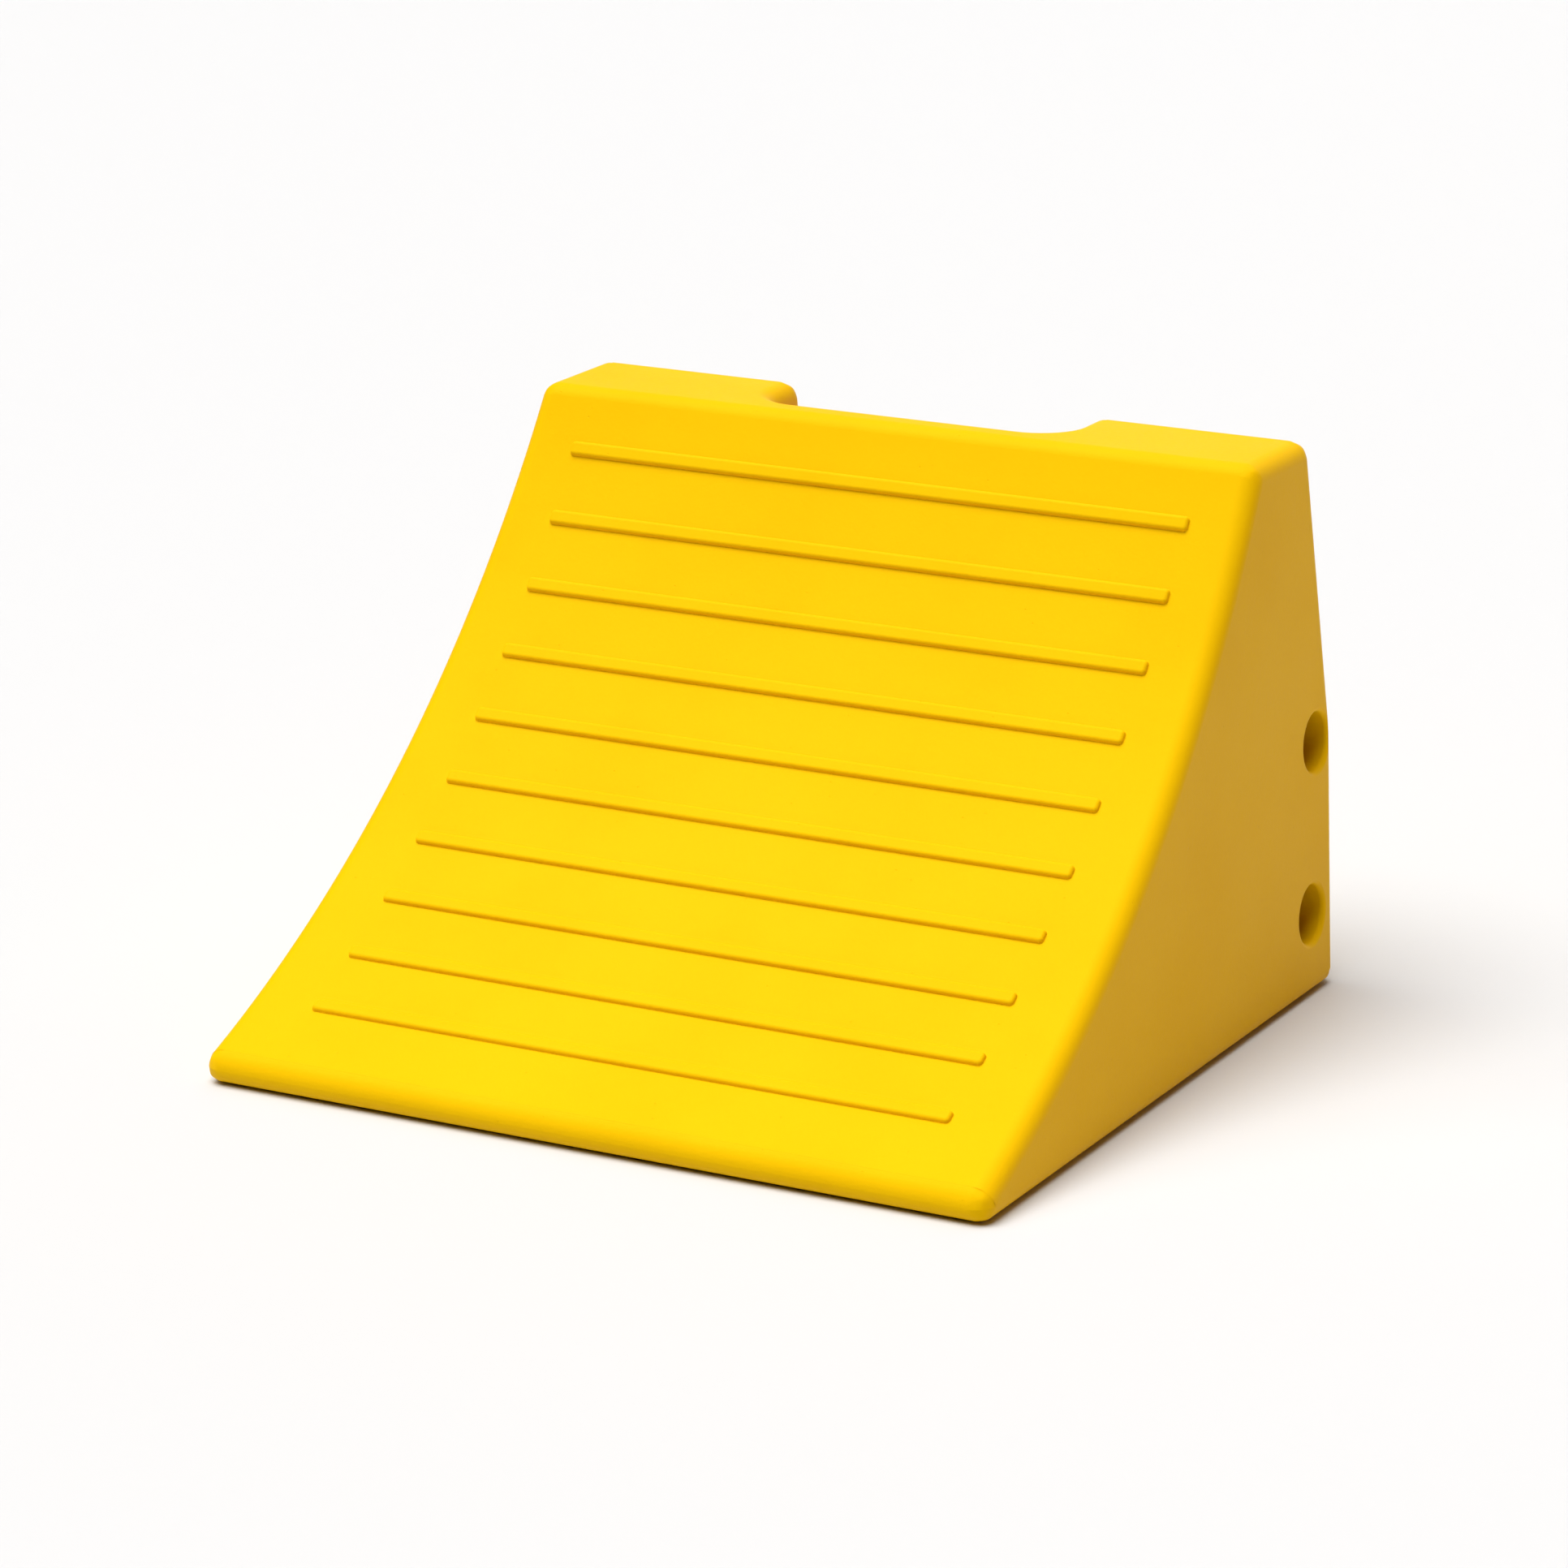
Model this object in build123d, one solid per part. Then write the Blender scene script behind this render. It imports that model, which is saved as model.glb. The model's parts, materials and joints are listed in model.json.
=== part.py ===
from build123d import *
import math
import os

# Heavy wheel chock: a cast urethane wedge with a ribbed concave tyre face, a hand notch in the back
# of its top, two rope bores across its rear, a light foam core, a closing plate and a rubber sole.
# Millimetres. +Z is up, the tyre face looks towards -Y, and X runs across the width.
# The origin is on the floor, in the middle of the width and the length.

WIDTH = 391.5  # across the base
LENGTH = 375.0  # toe to rear
HEIGHT = 265.0
TOP_DEPTH = 61.0  # flat top, front edge to rear edge
TOP_REAR_SETBACK = 23.5  # how far the top's rear edge stands in front of the rear face
SIDE_DRAFT = 10.0  # each side leans in by this much over the height
LIP_TOP = 14.0  # height of the toe's small upright face
KINK_HEIGHT = 125.0  # the rear face is upright below this height and leans forward above it
KINK_ROUND = 60.0
TYRE_RADIUS = 587.0  # radius of the concave face
EDGE_ROUND = 9.0
BOTTOM_ROUND = 6.5

RIB_COUNT = 10
RIB_LENGTH = 319.0
RIB_WIDTH = 7.0
RIB_HEIGHT = 2.2
RIB_ROUND = 1.8
RIB_END = 2.0  # corner radius of a rib, in plan
RIB_FIRST = 0.1088  # first and last rib, as fractions of the face's arc from the toe
RIB_LAST = 0.9217

NOTCH_WIDTH = 154.0
NOTCH_REACH = 40.5  # from the top's rear edge towards the front
NOTCH_DEPTH = 50.0
NOTCH_CORNER = 18.0
NOTCH_FLOOR_ROUND = 8.0

BORE_RADIUS = 14.0
BORE_RIM = 2.5
BORE_MOUTH = 22.0  # urethane at each end of a bore, before its liner starts
BORES = {"upper": (21.0, 121.5), "lower": (28.0, 40.0)}  # (distance from the rear face, height)
LINER_WALL = 2.5

WALL = 18.0
CORE_TOP = 192.0
CORE_REAR_WALL = 54.0

SOLE_PROUD = 1.0  # how far the sole stands below the casing
SOLE_THICKNESS = 10.0
SOLE_INSET = 9.0
SOLE_CORNER = 6.0
TREAD_COUNT = 18
TREAD_GROOVE = 5.0
TREAD_DEPTH = 3.0
PLATE_THICKNESS = 12.0
PLATE_CORNER = 12.0
PLATE_LEDGE = 8.0  # how far the plate reaches past the core, onto the casing
PLATE_TOE = 36.0  # from the toe to the plate

TOE_Y = -LENGTH / 2
REAR_Y = LENGTH / 2
TOP_REAR_Y = REAR_Y - TOP_REAR_SETBACK
TOP_FRONT_Y = TOP_REAR_Y - TOP_DEPTH
PLATE_BOTTOM = SOLE_THICKNESS
PLATE_TOP = PLATE_BOTTOM + PLATE_THICKNESS
SHARP_ANGLE = 15.0  # faces that meet at less than this, in degrees, already flow into each other


def face_centre():
    """Centre, in Y and Z, of the circle that the tyre face follows, above and in front of the chord."""
    chord_y = TOP_FRONT_Y - TOE_Y
    chord_z = HEIGHT - LIP_TOP
    chord = math.hypot(chord_y, chord_z)
    rise = math.sqrt(TYRE_RADIUS**2 - (chord / 2) ** 2)
    middle_y = (TOE_Y + TOP_FRONT_Y) / 2
    middle_z = (LIP_TOP + HEIGHT) / 2
    return middle_y - rise * chord_z / chord, middle_z + rise * chord_y / chord


CENTRE_Y, CENTRE_Z = face_centre()


def angle_to(y, z):
    """Angle of a point as seen from the tyre face's centre, in radians from +Y."""
    return math.atan2(z - CENTRE_Z, y - CENTRE_Y)


TOE_ANGLE = angle_to(TOE_Y, LIP_TOP)
CREST_ANGLE = angle_to(TOP_FRONT_Y, HEIGHT)
RIB_STEP = (RIB_LAST - RIB_FIRST) / (RIB_COUNT - 1)
RIB_SHARES = [RIB_FIRST + RIB_STEP * index for index in range(RIB_COUNT)]
RIB_ANGLES = [TOE_ANGLE + share * (CREST_ANGLE - TOE_ANGLE) for share in RIB_SHARES]


def face_point(angle, radius=TYRE_RADIUS):
    """A point at an angle on the tyre face's circle, or on a circle about the same centre."""
    return CENTRE_Y + radius * math.cos(angle), CENTRE_Z + radius * math.sin(angle)


def face_arc(start, end, radius=TYRE_RADIUS):
    """An arc about the tyre face's centre, in the YZ sketch plane."""
    middle = (start + end) / 2
    return ThreePointArc(*(face_point(angle, radius) for angle in (start, middle, end)))


def half_width(height, wall=0.0):
    """Half the drafted width at a height, less a wall."""
    return WIDTH / 2 - SIDE_DRAFT * height / HEIGHT - wall


def prism(edges, reach):
    """A closed outline in the YZ plane, extruded both ways along X."""
    face = make_face(edges)
    return extrude(Plane.YZ * face, amount=reach, both=True)


def drafted_block(wall=0.0):
    """The tall block between the two leaning sides, brought in by a wall."""
    low = half_width(0, wall)
    high = half_width(HEIGHT, wall)
    outline = Polyline((-low, 0), (low, 0), (high, HEIGHT), (-high, HEIGHT), close=True)
    return extrude(Plane.XZ * make_face(outline), amount=LENGTH, both=True)


def plan_slab(bottom, top, front, rear, inset, corner):
    """A level slab with rounded corners, brought in from the casing's sides at its own bottom."""
    width = 2 * half_width(bottom, inset)
    depth = rear - front
    outline = RectangleRounded(width, depth, corner)
    place = Pos(0, (front + rear) / 2, bottom)
    return extrude(place * outline, amount=top - bottom)


def wedge():
    """The sharp-edged wedge: side outline between two leaning sides."""
    outline = [
        Line((TOE_Y, SOLE_PROUD), (TOE_Y, LIP_TOP)),
        face_arc(TOE_ANGLE, CREST_ANGLE),
        Line((TOP_FRONT_Y, HEIGHT), (TOP_REAR_Y, HEIGHT)),
        Line((TOP_REAR_Y, HEIGHT), (REAR_Y, KINK_HEIGHT)),
        Line((REAR_Y, KINK_HEIGHT), (REAR_Y, SOLE_PROUD)),
        Line((REAR_Y, SOLE_PROUD), (TOE_Y, SOLE_PROUD)),
    ]
    solid = prism(outline, WIDTH) & drafted_block()
    kink = solid.edges().filter_by(Axis.X).sort_by_distance((0, REAR_Y, KINK_HEIGHT))[0]
    return fillet(kink, KINK_ROUND)


def notch_cutter():
    """The space of the hand notch, open above and behind, with rounded inner corners."""
    front = TOP_REAR_Y - NOTCH_REACH
    rear = REAR_Y + NOTCH_CORNER
    floor = HEIGHT - NOTCH_DEPTH
    block = Box(NOTCH_WIDTH, rear - front, 2 * NOTCH_DEPTH)
    block = Pos(0, (front + rear) / 2, HEIGHT) * block
    upright = block.edges().filter_by(Axis.Z).group_by(Axis.Y)[0]
    block = fillet(upright, NOTCH_CORNER)
    return fillet(block.faces().sort_by(Axis.Z)[0].edges(), NOTCH_FLOOR_ROUND)


def rib(angle):
    """One grip rib: a long low bar with rounded corners and edges, half sunk in the tyre face."""
    bar = Box(RIB_LENGTH, RIB_WIDTH, 2 * RIB_HEIGHT)
    bar = fillet(bar.edges().filter_by(Axis.Z), RIB_END)
    bar = fillet(bar.faces().sort_by(Axis.Z)[-1].edges(), RIB_ROUND)
    y, z = face_point(angle)
    return Pos(0, y, z) * Rot(math.degrees(angle) + 90, 0, 0) * bar


def bore_axis(name):
    """Where a bore crosses the middle of the chock."""
    inset, height = BORES[name]
    return REAR_Y - inset, height


def rod(name, radius, reach):
    """A round bar along a bore's axis, reaching as far each way from the middle."""
    y, z = bore_axis(name)
    return Pos(0, y, z) * Rot(0, 90, 0) * Cylinder(radius, 2 * reach)


def liner_reach(name):
    """Half the length of a bore's liner."""
    return half_width(BORES[name][1]) - BORE_MOUTH


def cavity():
    """The space for the core: the tyre face's curve, brought in by the wall, with a level top."""
    radius = TYRE_RADIUS + WALL
    start = math.asin((PLATE_TOP - CENTRE_Z) / radius)
    end = math.asin((CORE_TOP - CENTRE_Z) / radius)
    front_y, _ = face_point(start, radius)
    crest_y, _ = face_point(end, radius)
    rear_y = REAR_Y - CORE_REAR_WALL
    outline = [
        face_arc(start, end, radius),
        Line((crest_y, CORE_TOP), (rear_y, CORE_TOP)),
        Line((rear_y, CORE_TOP), (rear_y, PLATE_TOP)),
        Line((rear_y, PLATE_TOP), (front_y, PLATE_TOP)),
    ]
    return prism(outline, WIDTH) & drafted_block(WALL)


def sole_slab():
    """The sole's plain outline, before its tread is cut."""
    front = TOE_Y + SOLE_INSET
    rear = REAR_Y - SOLE_INSET
    return plan_slab(0, SOLE_THICKNESS, front, rear, SOLE_INSET, SOLE_CORNER)


def plate_slab():
    """The closing plate, which sits on a ledge inside the casing, clear of the thin toe."""
    rear = REAR_Y - CORE_REAR_WALL + PLATE_LEDGE
    return plan_slab(PLATE_BOTTOM, PLATE_TOP, TOE_Y + PLATE_TOE, rear, WALL - PLATE_LEDGE, PLATE_CORNER)


def is_sharp(edge, faces):
    """Whether the two faces at an edge meet at a clear angle."""
    middle = edge @ 0.5
    normals = [face.normal_at(middle) for face in faces if edge in face.edges()]
    return len(normals) == 2 and normals[0].get_angle(normals[1]) > SHARP_ANGLE


def rounded_wedge():
    """The wedge with its hand notch and every outer edge rounded, less so at the bottom."""
    solid = wedge() - notch_cutter()
    faces = solid.faces()
    bottom = solid.edges().group_by(Axis.Z)[0]
    outer = [edge for edge in solid.edges() if edge not in bottom and is_sharp(edge, faces)]
    solid = fillet(outer, EDGE_ROUND)
    return fillet(solid.edges().group_by(Axis.Z)[0], BOTTOM_ROUND)


def on_bore(edge, name):
    """Whether an edge lies on a bore's wall, at one of its two mouths."""
    y, z = bore_axis(name)
    for point in (edge @ 0, edge @ 0.3, edge @ 0.7):
        miss = math.hypot(point.Y - y, point.Z - z) - BORE_RADIUS
        if abs(miss) > 0.01 or abs(point.X) < liner_reach(name) + BORE_MOUTH / 2:
            return False
    return abs((edge @ 0).X - (edge @ 0.3).X) < BORE_MOUTH / 2


def make_casing():
    """The urethane casing: ribbed outside, hollow for the core, stepped below for plate and sole."""
    solid = rounded_wedge()
    for name in BORES:
        solid -= rod(name, BORE_RADIUS, WIDTH)
    for name in BORES:
        rim = [edge for edge in solid.edges() if on_bore(edge, name)]
        solid = fillet(rim, BORE_RIM)
    for name in BORES:
        solid -= rod(name, BORE_RADIUS + LINER_WALL, liner_reach(name))
    solid -= cavity()
    solid -= plate_slab()
    solid -= sole_slab()
    for angle in RIB_ANGLES:
        solid += rib(angle)
    return solid


def make_core():
    """The foam core, which fills the casing above the closing plate."""
    return cavity()


def make_liner(name):
    """The tube moulded in round a bore, so that a rope bears on it and not on the casing."""
    reach = liner_reach(name)
    return rod(name, BORE_RADIUS + LINER_WALL, reach) - rod(name, BORE_RADIUS, reach + 1)


def make_sole():
    """The rubber sole, with straight tread grooves across its underside."""
    solid = sole_slab()
    pitch = (LENGTH - 2 * SOLE_INSET) / (TREAD_COUNT + 1)
    groove = Box(WIDTH, TREAD_GROOVE, 2 * TREAD_DEPTH)
    for index in range(TREAD_COUNT):
        y = TOE_Y + SOLE_INSET + (index + 1) * pitch
        solid -= Pos(0, y, 0) * groove
    return solid


def main():
    os.makedirs("parts", exist_ok=True)
    solids = {
        "casing": make_casing(),
        "core": make_core(),
        "base_plate": plate_slab(),
        "sole": make_sole(),
    }
    for name in BORES:
        solids[name + "_bore_liner"] = make_liner(name)
    for name, solid in solids.items():
        export_step(solid, f"parts/{name}.step")


main()
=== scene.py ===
"""A cast urethane wheel chock: its visible pieces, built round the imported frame. Metres, +Z up."""

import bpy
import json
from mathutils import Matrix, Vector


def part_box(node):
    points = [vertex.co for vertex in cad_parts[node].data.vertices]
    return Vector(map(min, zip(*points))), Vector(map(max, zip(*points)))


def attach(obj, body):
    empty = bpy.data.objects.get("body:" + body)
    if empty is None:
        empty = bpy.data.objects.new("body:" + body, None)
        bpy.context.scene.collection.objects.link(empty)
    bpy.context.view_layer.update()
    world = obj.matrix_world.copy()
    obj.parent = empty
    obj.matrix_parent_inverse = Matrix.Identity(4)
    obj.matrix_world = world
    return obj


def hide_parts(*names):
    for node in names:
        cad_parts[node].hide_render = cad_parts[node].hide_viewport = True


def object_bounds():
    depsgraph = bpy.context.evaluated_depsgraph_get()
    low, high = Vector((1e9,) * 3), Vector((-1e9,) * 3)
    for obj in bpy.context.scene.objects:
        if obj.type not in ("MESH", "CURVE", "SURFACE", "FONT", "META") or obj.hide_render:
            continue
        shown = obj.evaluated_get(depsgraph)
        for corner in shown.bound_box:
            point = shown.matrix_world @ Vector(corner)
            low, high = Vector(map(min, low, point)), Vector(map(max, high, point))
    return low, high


bl_info = {
    "name": "Wheel Chock",
    "version": (1, 0, 0),
    "blender": (4, 5, 0),
    "location": "3D View > Sidebar > Chock",
    "description": "Models a ribbed urethane wheel chock with its sole, bores, core and studio",
    "category": "Object",
}

import json
import math

import bmesh
import bpy
from mathutils import Matrix, Vector

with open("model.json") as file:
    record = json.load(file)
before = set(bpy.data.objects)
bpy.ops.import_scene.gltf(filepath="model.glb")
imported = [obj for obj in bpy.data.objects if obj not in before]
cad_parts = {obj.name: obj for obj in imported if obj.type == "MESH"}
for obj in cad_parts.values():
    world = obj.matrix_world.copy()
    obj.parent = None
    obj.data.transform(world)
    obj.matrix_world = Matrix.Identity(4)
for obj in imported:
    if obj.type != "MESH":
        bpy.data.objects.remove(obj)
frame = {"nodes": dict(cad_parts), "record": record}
CAD_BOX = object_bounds()
BORES = [mount for mount in frame["record"]["mounts"] if mount["kind"] == "bore"]
BODY = "root"
MM = 0.001
RIGHT = Vector((1, 0, 0))
NEAR = MM  # points this close to a plane or a circle belong to it
CLOSE = MM / 10  # the same, where a finer sieve is needed
WELD = 1e-6  # points nearer than this are one point
CLEAR_BEND = math.radians(20)  # edges that bend more than this get rounded
CREASE = math.radians(35)  # edges that bend more than this stay crisp in shading


# Sizes, colours and the studio, as a user would set them


def length(name, description, default):
    """A size in metres, shown in the scene's own unit."""
    return bpy.props.FloatProperty(
        name=name, description=description, default=default, min=0, unit="LENGTH", precision=4
    )


def angle(name, description, degrees):
    """An angle, kept in radians and shown in degrees."""
    return bpy.props.FloatProperty(
        name=name, description=description, default=math.radians(degrees), unit="ROTATION"
    )


def amount(name, description, default):
    """A plain number of at least nothing."""
    return bpy.props.FloatProperty(name=name, description=description, default=default, min=0)


def count(name, description, default):
    """A whole number of at least one."""
    return bpy.props.IntProperty(name=name, description=description, default=default, min=1)


def colour(name, description, default):
    """A colour, in linear light."""
    return bpy.props.FloatVectorProperty(
        name=name, description=description, default=default, size=3, subtype="COLOR", min=0, max=1
    )


class ChockShape(bpy.types.PropertyGroup):
    """Sizes of the urethane casing."""

    width: length("Width", "Across the two sides at the floor", 0.3915)
    lean: length("Side lean", "How far each side leans in over the full height", 0.010)
    lip_top: length("Toe lip", "Height of the toe's upright face", 0.014)
    top_depth: length("Top depth", "Front to back over the flat top", 0.061)
    setback: length("Top setback", "From the rear face forward to the top's rear edge", 0.0235)
    kink_height: length("Kink height", "Where the upright part of the rear face ends", 0.125)
    kink_round: length("Kink rounding", "Radius where the rear face starts to lean", 0.060)
    tyre_radius: length("Tyre radius", "Radius of the concave face", 0.587)
    edge_round: length("Edge rounding", "Radius of the outer edges", 0.009)
    bottom_round: length("Bottom rounding", "Radius of the edges next to the floor", 0.0065)
    notch_width: length("Notch width", "Across the hand notch", 0.154)
    notch_reach: length("Notch reach", "From the top's rear edge to the notch's front wall", 0.0405)
    notch_depth: length("Notch depth", "From the top down to the notch's floor", 0.050)
    notch_corner: length("Notch corners", "Radius of the notch's upright corners", 0.018)
    notch_floor: length("Notch floor rounding", "Radius round the notch's floor", 0.008)
    mouth_round: length("Bore rim", "Rounding of the bores' mouths", 0.0025)
    arc_step: angle("Arc step", "Largest turn from one strip of the tyre face to the next", 0.55)


class RibShape(bpy.types.PropertyGroup):
    """Sizes of the grip ribs on the tyre face."""

    number: count("Ribs", "How many grip ribs cross the tyre face", 10)
    first: amount("First rib", "Middle of the lowest rib, as a share of the face from the toe", 0.1088)
    last: amount("Last rib", "Middle of the highest rib, as a share of the face from the toe", 0.9217)
    reach: length("Rib length", "End to end", 0.319)
    width: length("Rib width", "Across a rib, along the face", 0.007)
    height: length("Rib height", "How far a rib stands out of the face", 0.0022)
    top_round: length("Rib edges", "Radius of a rib's outer edges", 0.0017)
    end_round: length("Rib corners", "Radius of a rib's corners, seen from above", 0.0020)
    root_round: length("Rib roots", "Radius where a rib meets the face", 0.0004)


class SoleShape(bpy.types.PropertyGroup):
    """Sizes of the rubber sole."""

    grooves: count("Grooves", "How many tread grooves cross the sole", 18)
    groove_width: length("Groove width", "Across a groove", 0.005)
    groove_depth: length("Groove depth", "How deep the tread is", 0.003)
    corner: length("Sole corners", "Radius of the sole's upright corners", 0.006)
    edge: length("Tread edges", "Bevel on the tread's edges", 0.0006)


class ChockFinish(bpy.types.PropertyGroup):
    """Colours and surface of the chock's materials."""

    urethane: colour("Urethane", "Pigment of the casting", (0.88, 0.520, 0.002))
    # The deep tone gives the casting's random mottle, and in its pinholes it is painted shade.
    urethane_deep_and_pit_shade: colour("Urethane, deep", "Where the pigment lies thicker", (0.82, 0.455, 0.001))
    sheen: colour("Urethane sheen", "Colour of the casting's soft reflections", (1.0, 0.70, 0.01))
    urethane_rough: amount("Urethane roughness", "Middle roughness of the casting", 0.46)
    grain: length("Grain", "Size of the grain left by the mould", 0.0016)
    rubber: colour("Rubber", "Colour of the sole", (0.022, 0.021, 0.020))
    tube: colour("Tube", "Colour of the bore liners", (0.018, 0.018, 0.019))
    foam: colour("Foam", "Colour of the core", (0.72, 0.62, 0.38))


class ChockStudio(bpy.types.PropertyGroup):
    """Floor, lights and camera."""

    azimuth: angle("Azimuth", "Where the camera stands, round from the front", 27.9492)
    elevation: angle("Elevation", "How high the camera stands", 16.5205)
    roll: angle("Roll", "Turn of the camera about its own axis", 0.0073)
    distance: length("Distance", "From the camera to the aim", 2.7449)
    aim: bpy.props.FloatVectorProperty(
        name="Aim", description="Where the camera looks", default=(-0.0433, 0.0818, 0.0908),
        size=3, subtype="TRANSLATION",
    )
    lens: amount("Lens", "Focal length in millimetres on a 36 mm sensor", 133.935)
    floor: colour("Floor", "Colour of the floor and backdrop", (0.67, 0.67, 0.67))
    surround: colour("Surround", "Colour past the floor's edge", (0.98, 0.97, 0.97))
    front: amount("Front light", "Strength of the soft light in front", 0.21)
    above: amount("Top light", "Strength of the soft light overhead", 3.04)
    left: amount("Left light", "Strength of the soft light on the left", 1.06)
    back: amount("Back light", "Strength of the soft light behind", 0.48)
    right: amount("Right light", "Strength of the warm card that fills in the right side", 0.28)
    card: colour("Card", "Colour of the warm card", (1.0, 0.35, 0.10))


# Geometry helpers


class Outline:
    """The casing's side outline, in Y and Z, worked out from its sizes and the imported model's box."""

    def __init__(self, shape):
        low, high = CAD_BOX
        self.shape = shape
        self.toe = low.y
        self.rear = high.y
        self.height = high.z
        self.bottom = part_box("casing")[0].z
        self.top_rear = self.rear - shape.setback
        self.top_front = self.top_rear - shape.top_depth
        self.centre = self._centre()
        self.toe_angle = self._angle(self.toe, shape.lip_top)
        self.crest_angle = self._angle(self.top_front, self.height)

    def _centre(self):
        """Centre of the tyre face's circle, which passes through the lip's top and the crest."""
        chord = Vector((self.top_front - self.toe, self.height - self.shape.lip_top))
        middle = Vector((self.toe, self.shape.lip_top)) + chord / 2
        rise = math.sqrt(self.shape.tyre_radius**2 - chord.length_squared / 4)
        return middle + Vector((-chord.y, chord.x)).normalized() * rise

    def _angle(self, y, z):
        return math.atan2(z - self.centre.y, y - self.centre.x)

    def out(self, turn):
        """Direction out of the tyre face, at an angle on its circle."""
        return Vector((0, -math.cos(turn), -math.sin(turn)))

    def half_width(self, z):
        return self.shape.width / 2 - self.shape.lean * z / self.height

    def rib_angle(self, index, ribs):
        """Where the middle of a rib stands on the circle."""
        share = ribs.first + (ribs.last - ribs.first) * index / max(ribs.number - 1, 1)
        return self.toe_angle + share * (self.crest_angle - self.toe_angle)


def finished(bm, name):
    """Turn a bmesh into an object in the scene, its place in its mesh."""
    mesh = bpy.data.meshes.new(name)
    bm.to_mesh(mesh)
    bm.free()
    piece = bpy.data.objects.new(name, mesh)
    bpy.context.scene.collection.objects.link(piece)
    return piece


def settle(piece):
    """Apply a piece's modifiers to its mesh."""
    bpy.context.view_layer.update()
    seen = piece.evaluated_get(bpy.context.evaluated_depsgraph_get())
    mesh = bpy.data.meshes.new_from_object(seen)
    piece.modifiers.clear()
    piece.data = mesh


def carve(piece, cutters):
    """Cut closed solids out of a piece, and remove them."""
    for cutter in cutters:
        cut = piece.modifiers.new("cut", "BOOLEAN")
        cut.operation = "DIFFERENCE"
        cut.solver = "EXACT"
        cut.object = cutter
    settle(piece)
    for cutter in cutters:
        bpy.data.objects.remove(cutter)


def close_solid(bm):
    """Merge doubled points and turn every face outwards."""
    bmesh.ops.remove_doubles(bm, verts=bm.verts, dist=WELD / 10)
    bmesh.ops.recalc_face_normals(bm, faces=bm.faces)


def block(bm, low, high):
    """Add a box between two corners."""
    size = high - low
    place = Matrix.Translation((low + high) / 2) @ Matrix.Diagonal((*size, 1))
    bmesh.ops.create_cube(bm, size=1, matrix=place)


def bevel(bm, edges, width, segments):
    """Round edges to a width."""
    bmesh.ops.bevel(
        bm, geom=edges, offset=width, offset_type="OFFSET", affect="EDGES", segments=segments,
        profile=0.5, material=-1, clamp_overlap=False,
    )


def round_by_weight(piece, width, segments):
    """Round each edge to its own share of a width."""
    rounding = piece.modifiers.new("rounding", "BEVEL")
    rounding.limit_method = "WEIGHT"
    rounding.width = width
    rounding.segments = segments
    rounding.profile = 0.5
    rounding.use_clamp_overlap = False
    settle(piece)


def shade(piece):
    """Smooth shading, with flat faces kept flat and creases kept crisp."""
    piece.data.shade_smooth()
    piece.data.set_sharp_from_angle(angle=CREASE)
    normals = piece.modifiers.new("normals", "WEIGHTED_NORMAL")
    normals.keep_sharp = True
    settle(piece)


def merged_copy(node, name):
    """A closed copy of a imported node's mesh."""
    bm = bmesh.new()
    bm.from_mesh(frame["nodes"][node].data)
    bmesh.ops.remove_doubles(bm, verts=bm.verts, dist=WELD)
    return finished(bm, name)


# The casing


def tyre_strips(bm, outline, ribs):
    """The concave face: an edge row across the toe, spun about the tyre's centre. Returns the last row."""
    half = outline.half_width(outline.shape.lip_top)
    places = (-half, -ribs.reach / 2, ribs.reach / 2, half)
    points = [bm.verts.new((x, outline.toe, outline.shape.lip_top)) for x in places]
    row = [bm.edges.new(pair) for pair in zip(points, points[1:])]
    first = list(row)
    half_rib = ribs.width / 2 / outline.shape.tyre_radius
    stops = [outline.toe_angle]
    for index in range(ribs.number):
        middle = outline.rib_angle(index, ribs)
        stops += [middle - half_rib, middle + half_rib]
    stops.append(outline.crest_angle)
    for start, end in zip(stops, stops[1:]):
        made = bmesh.ops.spin(
            bm, geom=row, cent=(0, *outline.centre), axis=RIGHT, angle=end - start,
            steps=max(1, round((end - start) / outline.shape.arc_step)), use_merge=False,
        )
        row = [item for item in made["geom_last"] if isinstance(item, bmesh.types.BMEdge)]
    return first, row


def pull(bm, row, to_y, to_z):
    """Extrude a row of edges to another level line and return the new row."""
    made = bmesh.ops.extrude_edge_only(bm, edges=row)["geom"]
    for vert in (item for item in made if isinstance(item, bmesh.types.BMVert)):
        vert.co.y = to_y
        vert.co.z = to_z
    return [item for item in made if isinstance(item, bmesh.types.BMEdge) and is_level(item)]


def is_level(edge):
    """Whether an edge runs across the width."""
    along = edge.verts[1].co - edge.verts[0].co
    return abs(along.x) > abs(along.y) + abs(along.z)


def sharp_wedge(outline, ribs):
    """The wedge without its notch, with sharp outer edges, the ribs raised and the rear bend rounded."""
    shape = outline.shape
    bm = bmesh.new()
    first, row = tyre_strips(bm, outline, ribs)
    row = pull(bm, row, outline.top_rear, outline.height)
    row = pull(bm, row, outline.rear, shape.kink_height)
    row = pull(bm, row, outline.rear, outline.bottom)
    row = pull(bm, row, outline.toe, outline.bottom)
    bmesh.ops.bridge_loops(bm, edges=row + first)
    for vert in bm.verts:
        if abs(vert.co.x) > ribs.reach / 2 + NEAR:
            vert.co.x = math.copysign(outline.half_width(vert.co.z), vert.co.x)
    bmesh.ops.holes_fill(bm, edges=[edge for edge in bm.edges if edge.is_boundary])
    close_solid(bm)
    raise_ribs(bm, outline, ribs)
    level = math.radians(0.02)
    bmesh.ops.dissolve_limit(bm, angle_limit=level, verts=bm.verts, edges=bm.edges)
    round_kink(bm, outline)
    return bm


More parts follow.
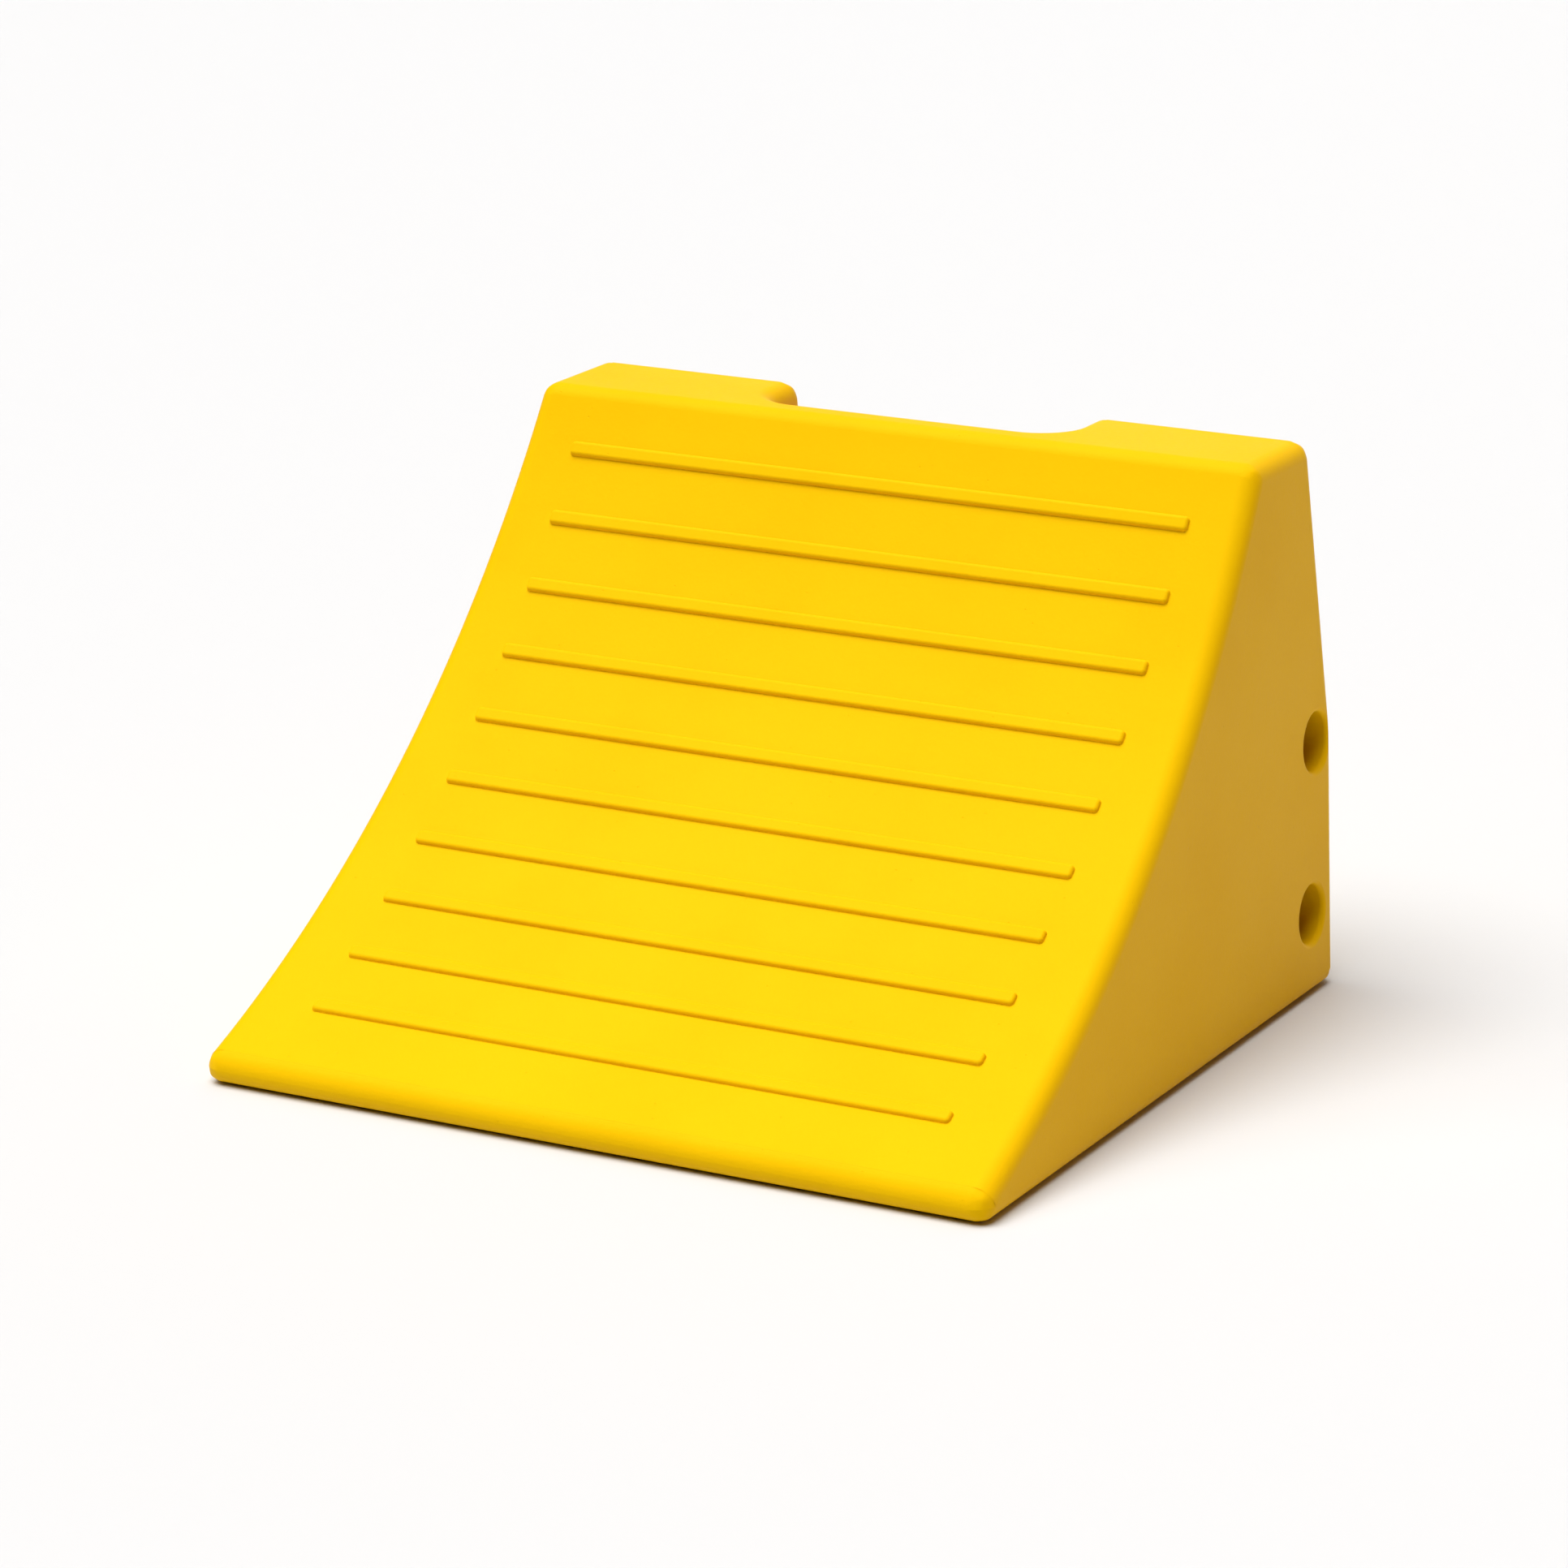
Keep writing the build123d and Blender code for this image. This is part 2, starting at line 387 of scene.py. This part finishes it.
def raise_ribs(bm, outline, ribs):
    """Extrude each rib's patch of the tyre face straight out of it, and round its corners in plan."""
    half_rib = ribs.width / 2 / outline.shape.tyre_radius
    for index in range(ribs.number):
        middle = outline.rib_angle(index, ribs)
        patch = [face for face in bm.faces if in_rib(face, outline, ribs, middle, half_rib)]
        made = bmesh.ops.extrude_face_region(bm, geom=patch)["geom"]
        raised = [item for item in made if isinstance(item, bmesh.types.BMVert)]
        bmesh.ops.translate(bm, verts=raised, vec=outline.out(middle) * ribs.height)
        bmesh.ops.delete(bm, geom=patch, context="FACES")
    corners = [edge for edge in bm.edges if is_rib_corner(edge, ribs)]
    bevel(bm, corners, ribs.end_round, 6)


def is_rib_corner(edge, ribs):
    """Whether an edge stands at a corner of a raised rib."""
    at_end = all(abs(abs(vert.co.x) - ribs.reach / 2) < CLOSE / 10 for vert in edge.verts)
    as_tall = abs(edge.calc_length() - ribs.height) < CLOSE
    return at_end and as_tall and edge.calc_face_angle(0) > math.radians(57)


def in_rib(face, outline, ribs, middle, half_rib):
    """Whether a face of the tyre face belongs to the rib at an angle."""
    spot = face.calc_center_median()
    radius = math.hypot(spot.y - outline.centre.x, spot.z - outline.centre.y)
    turn = math.atan2(spot.z - outline.centre.y, spot.y - outline.centre.x)
    on_face = abs(radius - outline.shape.tyre_radius) < NEAR and abs(spot.x) < ribs.reach / 2
    return on_face and abs(turn - middle) < half_rib


def round_kink(bm, outline):
    """Round the bend in the rear face."""
    shape = outline.shape
    turn = math.atan2(shape.setback, outline.height - shape.kink_height)
    kink = [
        edge for edge in bm.edges
        if is_level(edge) and all(abs(v.co.z - shape.kink_height) < NEAR and v.co.y > 0 for v in edge.verts)
    ]
    bevel(bm, kink, shape.kink_round * math.tan(turn / 2), 4)


def notch_cutter(outline):
    """The hand notch's space, with its inner corners rounded, open above and behind."""
    shape = outline.shape
    front = outline.top_rear - shape.notch_reach
    floor = outline.height - shape.notch_depth
    half = shape.notch_width / 2
    bm = bmesh.new()
    block(bm, Vector((-half, front, floor)), Vector((half, outline.rear + half, outline.height + half)))
    upright = [e for e in bm.edges if all(abs(v.co.y - front) < NEAR for v in e.verts) and not is_level(e)]
    bevel(bm, upright, shape.notch_corner, 10)
    base = [edge for edge in bm.edges if all(abs(v.co.z - floor) < NEAR for v in edge.verts)]
    bevel(bm, base, shape.notch_floor, 6)
    close_solid(bm)
    return finished(bm, "notch_cutter")


def weigh_edges(piece, outline, ribs):
    """Give each sharp edge the share of the edge rounding that makes its radius right."""
    shape = outline.shape
    bm = bmesh.new()
    bm.from_mesh(piece.data)
    layers = bm.edges.layers.float
    weight = layers.get("bevel_weight_edge") or layers.new("bevel_weight_edge")
    for edge in bm.edges:
        turn = edge.calc_face_angle_signed(0)
        if abs(turn) < CLEAR_BEND:
            continue
        radius = shape.edge_round
        if all(v.co.z < outline.bottom + CLOSE for v in edge.verts):
            radius = shape.bottom_round
        elif near_rib(edge, outline, ribs):
            radius = ribs.top_round if turn > 0 else ribs.root_round
        edge[weight] = radius / shape.edge_round * math.tan(abs(turn) / 2)
    bm.to_mesh(piece.data)
    bm.free()


def near_rib(edge, outline, ribs):
    """Whether an edge belongs to a rib: close to the tyre face's circle and clear of the sides."""
    for vert in edge.verts:
        radius = math.hypot(vert.co.y - outline.centre.x, vert.co.z - outline.centre.y)
        if abs(vert.co.x) > ribs.reach / 2 + NEAR or radius > outline.shape.tyre_radius + NEAR:
            return False
    middle = (edge.verts[0].co.y + edge.verts[1].co.y) / 2
    return outline.toe + ribs.width < middle < outline.top_front - ribs.width


def bore_cutter(bore, outline):
    """Everything a bore takes out: its rounded mouths, its wall and the seat of its liner. One half is
    a profile spun about the bore, sheared to the side's lean at its mouth, and the other its mirror."""
    shape = outline.shape
    place = Vector(bore["pos_m"])
    low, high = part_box(bore["name"] + "_liner")
    wall = bore["dims"]["r_mm"] * MM
    seat = (high.z - low.z) / 2
    side = outline.half_width(place.z)
    points = [(0, 0), (0, seat), (high.x, seat), (high.x, wall), (side - shape.mouth_round, wall)]
    steps = 7
    widest = math.radians(80)
    for step in range(1, steps + 1):
        turn = widest * step / steps
        deep = shape.mouth_round * (1 - math.sin(turn))
        points.append((side - deep, wall + shape.mouth_round * (1 - math.cos(turn))))
    reach, spread = points[-1]
    past = 2 * MM
    clear = side + 20 * MM
    points += [(reach + past, spread + past * math.tan(widest)), (clear, 30 * MM), (clear, 0)]
    bm = bmesh.new()
    verts = [bm.verts.new((place.x + x, place.y, place.z + r)) for x, r in points]
    edges = [bm.edges.new(pair) for pair in zip(verts, verts[1:])]
    bmesh.ops.spin(
        bm, geom=verts + edges, cent=place, axis=RIGHT, angle=math.tau, steps=96, use_merge=True
    )
    for vert in bm.verts:
        if vert.co.x > side - shape.mouth_round - NEAR:
            vert.co.x -= shape.lean / outline.height * (vert.co.z - place.z)
    bmesh.ops.mirror(bm, geom=bm.verts[:] + bm.edges[:] + bm.faces[:], axis="X", merge_dist=WELD)
    middle = [face for face in bm.faces if all(abs(v.co.x) < WELD for v in face.verts)]
    bmesh.ops.delete(bm, geom=middle, context="FACES")
    close_solid(bm)
    return finished(bm, bore["name"] + "_cutter")


def sole_slab(corner):
    """The sole's outline as a plain slab with rounded upright corners."""
    low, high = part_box("sole")
    bm = bmesh.new()
    block(bm, low, high)
    upright = [edge for edge in bm.edges if abs(edge.verts[0].co.z - edge.verts[1].co.z) > NEAR]
    bevel(bm, upright, corner, 8)
    return bm


class ChockCasing(bpy.types.Operator):
    """Model the urethane casing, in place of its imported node"""

    bl_idname = "chock.casing"
    bl_label = "Casing"

    def execute(self, context):
        settings = context.scene
        outline = Outline(settings.chock_shape)
        ribs = settings.chock_ribs
        casing = finished(sharp_wedge(outline, ribs), "urethane_casing")
        carve(casing, [notch_cutter(outline)])
        weigh_edges(casing, outline, ribs)
        round_by_weight(casing, outline.shape.edge_round, 8)
        slab = finished(sole_slab(settings.chock_sole.corner), "sole_cutter")
        inside = [merged_copy("core", "core_cutter"), merged_copy("base_plate", "plate_cutter"), slab]
        carve(casing, [bore_cutter(bore, outline) for bore in BORES] + inside)
        shade(casing)
        casing.data.materials.clear()
        casing.data.materials.append(cast_urethane(settings.chock_finish))
        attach(casing, BODY)
        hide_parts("casing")
        return {"FINISHED"}


# The sole


def tread_cutter(sole):
    """Straight bars across the width, one for each groove."""
    low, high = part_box("sole")
    pitch = (high.y - low.y) / (sole.grooves + 1)
    bm = bmesh.new()
    for index in range(sole.grooves):
        middle = low.y + pitch * (index + 1)
        corner = Vector((low.x - sole.corner, middle - sole.groove_width / 2, low.z - sole.groove_depth))
        far = Vector((high.x + sole.corner, middle + sole.groove_width / 2, low.z + sole.groove_depth))
        block(bm, corner, far)
    return finished(bm, "tread_cutter")


class ChockSole(bpy.types.Operator):
    """Model the rubber sole with its tread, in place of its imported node"""

    bl_idname = "chock.sole"
    bl_label = "Sole"

    def execute(self, context):
        settings = context.scene
        sole = settings.chock_sole
        piece = finished(sole_slab(sole.corner), "tread_sole")
        carve(piece, [tread_cutter(sole)])
        soften = piece.modifiers.new("soften", "BEVEL")
        soften.width = sole.edge
        soften.segments = 2
        soften.limit_method = "ANGLE"
        soften.angle_limit = CREASE
        settle(piece)
        shade(piece)
        piece.data.materials.clear()
        piece.data.materials.append(sole_rubber(settings.chock_finish))
        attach(piece, BODY)
        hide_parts("sole")
        return {"FINISHED"}


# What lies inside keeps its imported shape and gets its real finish


def finish_node(node, material):
    """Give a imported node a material."""
    mesh = frame["nodes"][node].data
    mesh.materials.clear()
    mesh.materials.append(material)


class ChockInside(bpy.types.Operator):
    """Finish the core, the closing plate and the bore liners"""

    bl_idname = "chock.inside"
    bl_label = "Inside"

    def execute(self, context):
        finish = context.scene.chock_finish
        finish_node("core", rigid_foam(finish))
        finish_node("base_plate", cast_urethane(finish))
        tube = liner_plastic(finish)
        for bore in BORES:
            finish_node(bore["name"] + "_liner", tube)
        return {"FINISHED"}


# Materials


class Shade:
    """One socket of a material. Arithmetic on it adds Math nodes."""

    def __init__(self, tree, socket):
        self.tree = tree
        self.socket = socket

    def make(self, kind, settings, inputs, output=0):
        """Add a node: its settings first, then the values or links of its inputs."""
        return make(self.tree, kind, settings, inputs, output)

    def _math(self, operation, first, second):
        return self.make("ShaderNodeMath", {"operation": operation}, {0: first, 1: second})

    def __add__(self, other):
        return self._math("ADD", self, other)

    def __radd__(self, other):
        return self._math("ADD", other, self)

    def __sub__(self, other):
        return self._math("SUBTRACT", self, other)

    def __rsub__(self, other):
        return self._math("SUBTRACT", other, self)

    def __mul__(self, other):
        return self._math("MULTIPLY", self, other)

    def __rmul__(self, other):
        return self._math("MULTIPLY", other, self)

    def above(self, low, high):
        """Nothing below one value, all above another, and smooth between them."""
        settings = {"interpolation_type": "SMOOTHSTEP", "clamp": True}
        return self.make("ShaderNodeMapRange", settings, {"Value": self, "From Min": low, "From Max": high})

    def blend(self, first, second):
        """From the first colour to the second as this goes from 0 to 1."""
        inputs = {"Factor": self, 6: first, 7: second}
        return self.make("ShaderNodeMix", {"data_type": "RGBA"}, inputs, output=2)


def make(tree, kind, settings, inputs, output=0):
    """Add one node to a tree and return one of its outputs."""
    node = tree.nodes.new(kind)
    for name, value in settings.items():
        setattr(node, name, value)
    for name, value in inputs.items():
        socket = node.inputs[name]
        if isinstance(value, Shade):
            tree.links.new(value.socket, socket)
        elif socket.type == "RGBA":
            socket.default_value = (*value, 1)
        else:
            socket.default_value = value
    return Shade(tree, node.outputs[output]) if node.outputs else None


class Finish:
    """A new material, with the object's own coordinates and one principled surface."""

    def __init__(self, name):
        self.material = bpy.data.materials.new(name)
        self.material.use_nodes = True
        self.tree = self.material.node_tree
        self.tree.nodes.clear()
        self.place = make(self.tree, "ShaderNodeTexCoord", {}, {}, output=3)

    def noise(self, size, detail, stretch=(1, 1, 1)):
        """Soft noise with features of a size in metres."""
        scale = tuple(1 / size / s for s in stretch)
        spot = make(self.tree, "ShaderNodeMapping", {}, {"Vector": self.place, "Scale": scale})
        inputs = {"Vector": spot, "Scale": 1.0, "Detail": detail, "Roughness": 0.55}
        return make(self.tree, "ShaderNodeTexNoise", {}, inputs)

    def cells(self, size):
        """Distance to the nearest of scattered points about a size apart, in metres."""
        return make(self.tree, "ShaderNodeTexVoronoi", {}, {"Vector": self.place, "Scale": 1 / size})

    def relief(self, height, depth, under=None):
        """Bump from a height between 0 and 1 that is a depth in metres high."""
        inputs = {"Height": height, "Distance": depth, "Strength": 1.0}
        if under is not None:
            inputs["Normal"] = under
        return make(self.tree, "ShaderNodeBump", {}, inputs)

    def surface(self, **inputs):
        """Close the material with its principled surface."""
        values = {name.replace("_", " "): value for name, value in inputs.items()}
        skin = make(self.tree, "ShaderNodeBsdfPrincipled", {}, values)
        make(self.tree, "ShaderNodeOutputMaterial", {}, {"Surface": skin})
        return self.material


def cast_urethane(finish):
    """Pigmented cast urethane: satin, nearly even in colour, with the mould's fine grain and a few pinholes,
    which are sunk by bump and darkened with painted shade.
    """
    made = Finish("cast_urethane")
    cloud = made.noise(0.090, detail=3)
    speck = made.noise(0.004, detail=2)
    grain = made.noise(finish.grain, detail=3)
    wave = made.noise(0.030, detail=1)
    # Pinholes: the bump below sinks them, and the deep tone darkens them as painted shade in the pits.
    pore_pits_and_shade = 1 - made.cells(0.011).above(0.02, 0.05)
    mottle = cloud.above(0.35, 0.75) * 0.34
    # Random mottle and specks, plus painted shade in the pinholes.
    depth = (mottle + speck * 0.22) + pore_pits_and_shade * 0.45
    tint = depth.blend(finish.urethane, finish.urethane_deep_and_pit_shade)
    rough = finish.urethane_rough + (grain - 0.5) * 0.10 + (cloud - 0.5) * 0.14
    broad = made.relief(wave, 0.25 * MM)
    fine = made.relief(grain, 0.09 * MM, under=broad)
    pitted = made.relief(1 - pore_pits_and_shade, 0.12 * MM, under=fine)
    return made.surface(
        Base_Color=tint, Roughness=rough, Normal=pitted,
        IOR=1.48, Specular_IOR_Level=0.07, Specular_Tint=finish.sheen,
    )


def sole_rubber(finish):
    """Vulcanised sole rubber: black, dull, greyed in places."""
    made = Finish("sole_rubber")
    cloud = made.noise(0.040, detail=4)
    grain = made.noise(0.0012, detail=2)
    dust = cloud.above(0.45, 0.80) * 0.35
    tint = dust.blend(finish.rubber, (0.10, 0.095, 0.085))
    rough = 0.78 + (grain - 0.5) * 0.2
    return made.surface(Base_Color=tint, Roughness=rough, Normal=made.relief(grain, 0.08 * MM))


def liner_plastic(finish):
    """Extruded black polyethylene, with faint lines along the tube."""
    made = Finish("liner_plastic")
    lines = made.noise(0.0010, detail=2, stretch=(120, 1, 1))
    tint = lines.above(0.3, 0.8).blend(finish.tube, (0.035, 0.035, 0.037))
    return made.surface(Base_Color=tint, Roughness=0.38 + lines * 0.2, Normal=made.relief(lines, 0.04 * MM))


def rigid_foam(finish):
    """Rigid cream foam with open cells where it was trimmed, mottled at random and darker in the sunken
    seams between cells, which is painted shade.
    """
    made = Finish("rigid_foam")
    cell_relief_and_shade = made.cells(0.0016)
    cloud = made.noise(0.050, detail=3)
    # Darker where the cells sink, which is painted shade in their hollows, and in random clouds.
    tint = (cell_relief_and_shade * 0.5 + cloud * 0.3).blend(finish.foam, (0.48, 0.36, 0.16))
    return made.surface(Base_Color=tint, Roughness=0.93 - cell_relief_and_shade * 0.1, Normal=made.relief(1 - cell_relief_and_shade, 0.5 * MM))


def studio_paper(floor):
    """Matt paper of the floor and backdrop."""
    made = Finish("studio_paper")
    fibre = made.noise(0.004, detail=2)
    return made.surface(Base_Color=floor, Roughness=0.85 + fibre * 0.1)


# The stage


def backdrop(studio):
    """A floor that curves up into a wall well behind the chock."""
    reach = 7.0  # to each side, to the front, and up the wall
    back = 6.0  # where the floor starts to curve
    bend = 2.5  # radius of the curve
    bm = bmesh.new()
    front = [bm.verts.new((x, -reach, 0)) for x in (-reach, reach)]
    row = [bm.edges.new(front)]
    row = pull(bm, row, back, 0)
    made = bmesh.ops.spin(
        bm, geom=row, cent=(0, back, bend), axis=RIGHT, angle=math.pi / 2, steps=24, use_merge=False
    )
    row = [item for item in made["geom_last"] if isinstance(item, bmesh.types.BMEdge)]
    pull(bm, row, back + bend, reach)
    bmesh.ops.recalc_face_normals(bm, faces=bm.faces)
    piece = finished(bm, "backdrop")
    piece.data.shade_smooth()
    piece.data.materials.append(studio_paper(tuple(studio.floor)))


# Each light's bearing, round to the right of the front, its elevation, and its spread, all in degrees
LIGHTS = {
    "front": (-30, 50, 40),
    "above": (-20, 75, 50),
    "left": (-70, 65, 50),
    "back": (180, 60, 50),
    "right": (110, 15, 40),
}


def soft_light(name, strength, tint=(1, 1, 1)):
    """Even light from a broad patch of the studio's ceiling or wall."""
    azimuth, elevation, spread = (math.radians(degrees) for degrees in LIGHTS[name])
    data = bpy.data.lights.new(name, "SUN")
    data.energy = strength
    data.color = tint
    data.angle = spread
    lamp = bpy.data.objects.new(name, data)
    lamp.rotation_euler = bearing(azimuth, elevation).to_track_quat("Z", "Y").to_euler()
    bpy.context.scene.collection.objects.link(lamp)


def bearing(azimuth, elevation):
    """Direction to a place round to the right of the front and up."""
    level = math.cos(elevation)
    return Vector((math.sin(azimuth) * level, -math.cos(azimuth) * level, math.sin(elevation)))


def pale_surround(tint):
    """A pale surround past the floor's edge, which the camera sees but which lights nothing."""
    world = bpy.data.worlds.new("pale_surround")
    world.use_nodes = True
    world.node_tree.nodes["Background"].inputs["Color"].default_value = (*tint, 1)
    seen = world.cycles_visibility
    seen.diffuse = seen.glossy = seen.transmission = seen.scatter = False
    bpy.context.scene.world = world


def camera(studio):
    """The camera, standing round to the right of the tyre face."""
    aim = Vector(studio.aim)
    back = bearing(studio.azimuth, studio.elevation)
    data = bpy.data.cameras.new("camera")
    data.lens = studio.lens
    data.sensor_width = 36
    seer = bpy.data.objects.new("camera", data)
    turn = back.to_track_quat("Z", "Y") @ Matrix.Rotation(studio.roll, 3, "Z").to_quaternion()
    seer.location = aim + back * studio.distance
    seer.rotation_euler = turn.to_euler()
    bpy.context.scene.collection.objects.link(seer)
    bpy.context.scene.camera = seer


class ChockStage(bpy.types.Operator):
    """Set up the floor, the soft lights and the camera"""

    bl_idname = "chock.stage"
    bl_label = "Studio"

    def execute(self, context):
        studio = context.scene.chock_studio
        backdrop(studio)
        pale_surround(studio.surround)
        soft_light("front", studio.front)
        soft_light("above", studio.above)
        soft_light("left", studio.left)
        soft_light("back", studio.back)
        soft_light("right", studio.right, studio.card)
        camera(studio)
        context.scene.view_settings.view_transform = "Standard"
        return {"FINISHED"}


class ChockPanel(bpy.types.Panel):
    """The chock's operators and settings, in the sidebar"""

    bl_idname = "VIEW3D_PT_chock"
    bl_label = "Wheel Chock"
    bl_space_type = "VIEW_3D"
    bl_region_type = "UI"
    bl_category = "Chock"

    def draw(self, context):
        for maker in OPERATORS:
            self.layout.operator(maker.bl_idname)
        for group in GROUPS:
            settings = getattr(context.scene, group)
            box = self.layout.box()
            for name in settings.__annotations__:
                box.prop(settings, name)


OPERATORS = (ChockCasing, ChockSole, ChockInside, ChockStage)
GROUPS = {
    "chock_shape": ChockShape,
    "chock_ribs": RibShape,
    "chock_sole": SoleShape,
    "chock_finish": ChockFinish,
    "chock_studio": ChockStudio,
}


def register():
    for kind in (*GROUPS.values(), *OPERATORS, ChockPanel):
        bpy.utils.register_class(kind)
    for name, kind in GROUPS.items():
        setattr(bpy.types.Scene, name, bpy.props.PointerProperty(type=kind))


def unregister():
    for name in GROUPS:
        delattr(bpy.types.Scene, name)
    for kind in (ChockPanel, *reversed(OPERATORS), *reversed(GROUPS.values())):
        bpy.utils.unregister_class(kind)


def clear_defaults():
    """Take away what a new scene starts with."""
    for name in ("Cube", "Light", "Camera"):
        if name in bpy.data.objects:
            bpy.data.objects.remove(bpy.data.objects[name])


def main():
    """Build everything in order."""
    register()
    clear_defaults()
    bpy.ops.chock.casing()
    bpy.ops.chock.sole()
    bpy.ops.chock.inside()
    bpy.ops.chock.stage()


if __name__ == "__main__":
    main()
